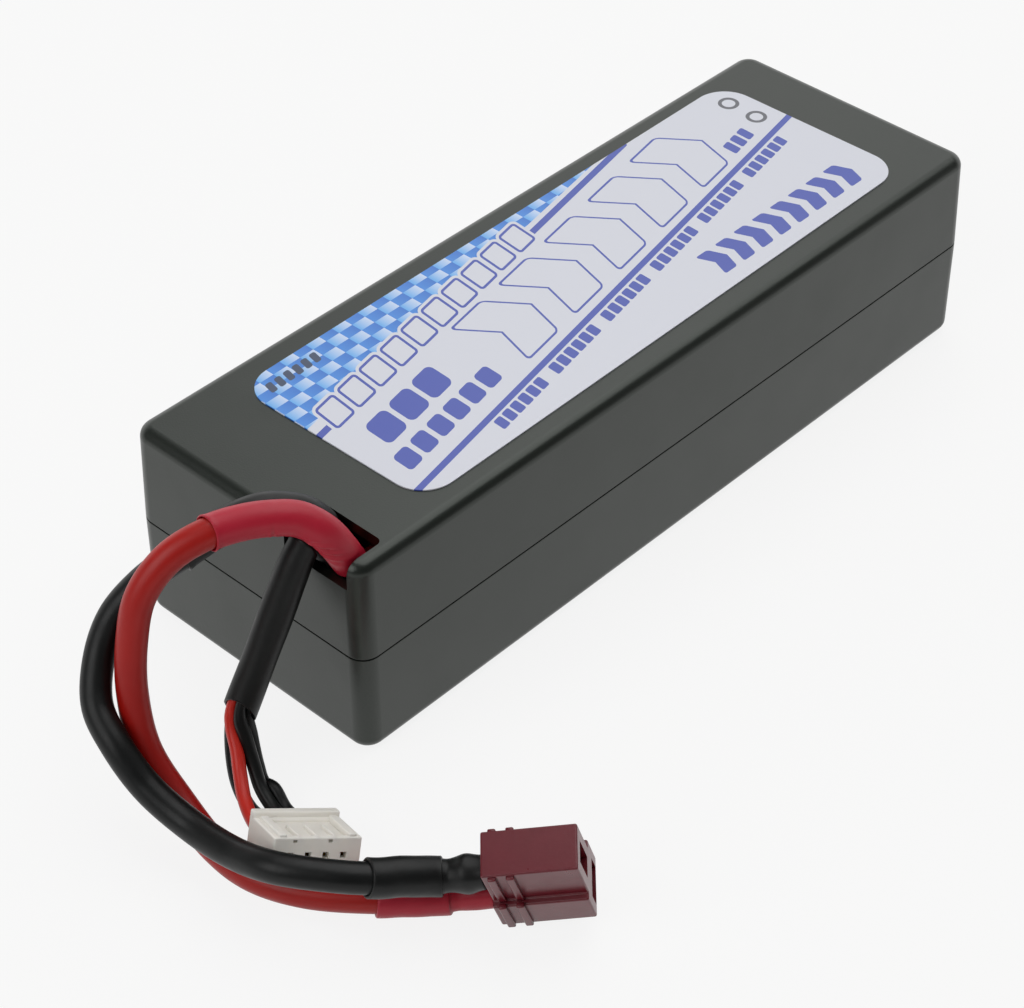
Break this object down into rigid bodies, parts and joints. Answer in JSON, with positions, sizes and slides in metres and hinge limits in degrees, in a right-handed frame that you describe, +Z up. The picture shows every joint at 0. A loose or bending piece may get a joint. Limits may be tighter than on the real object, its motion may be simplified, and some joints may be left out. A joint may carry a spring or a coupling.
{
  "type": "lithium polymer battery pack",
  "caption": "Black two-part hard-case lithium polymer battery with a printed top label, red and black power leads to a T-shaped plug and a sleeved balance lead to a small white plug.",
  "frame": {"origin": "centre of the case's underside, on the surface it stands on", "axes": "+X along the case's length away from the leads, +Y across the case away from the plugs, +Z up through the label"},
  "size_m": [0.1718, 0.0922, 0.0435],
  "materials": {
    "case_plastic": "moulded black ABS, fine satin texture",
    "label_print": "printed vinyl sticker, semi-gloss",
    "cell_pouch": "laminated pouch foil, satin",
    "tab_aluminium": "rolled strip",
    "tab_copper": "rolled copper strip",
    "white_tape": "double-sided tape",
    "grey_foam": "closed-cell foam",
    "green_board": "glass-fibre board with solder resist",
    "fish_paper": "insulating paper",
    "solder": "solder",
    "red_silicone": "soft silicone insulation",
    "black_silicone": "soft silicone insulation",
    "crimson_shrink": "shrunk tubing",
    "black_shrink": "shrunk tubing",
    "burgundy_nylon": "moulded nylon",
    "gold_contact": "gold-plated brass",
    "white_nylon": "moulded nylon, slightly translucent"
  },
  "bodies": {
    "root": {"lower_shell": "case_plastic", "upper_shell": "case_plastic", "top_label": "label_print", "cell_1": "cell_pouch", "cell_2": "cell_pouch", "cell_3": "cell_pouch", "positive_tabs": "tab_aluminium", "negative_tabs": "tab_copper", "cell_tape": "white_tape", "bottom_foam": "grey_foam", "top_foam": "grey_foam", "end_foam": "grey_foam", "tab_board": "green_board", "series_links": "tab_copper", "insulating_sheet": "fish_paper", "solder_joints": "solder", "positive_lead": "red_silicone", "negative_lead": "black_silicone", "positive_exit_sleeve": "crimson_shrink", "negative_exit_sleeve": "black_shrink", "positive_plug_sleeve": "crimson_shrink", "negative_plug_sleeve": "black_shrink", "plug_housing": "burgundy_nylon", "positive_contact": "gold_contact", "negative_contact": "gold_contact", "balance_sheath": "black_shrink", "balance_wire_1": "red_silicone", "balance_wire_2": "black_silicone", "balance_wire_3": "black_silicone", "balance_wire_4": "black_silicone", "balance_housing": "white_nylon", "balance_contacts": "gold_contact"}
  },
  "joints": []
}
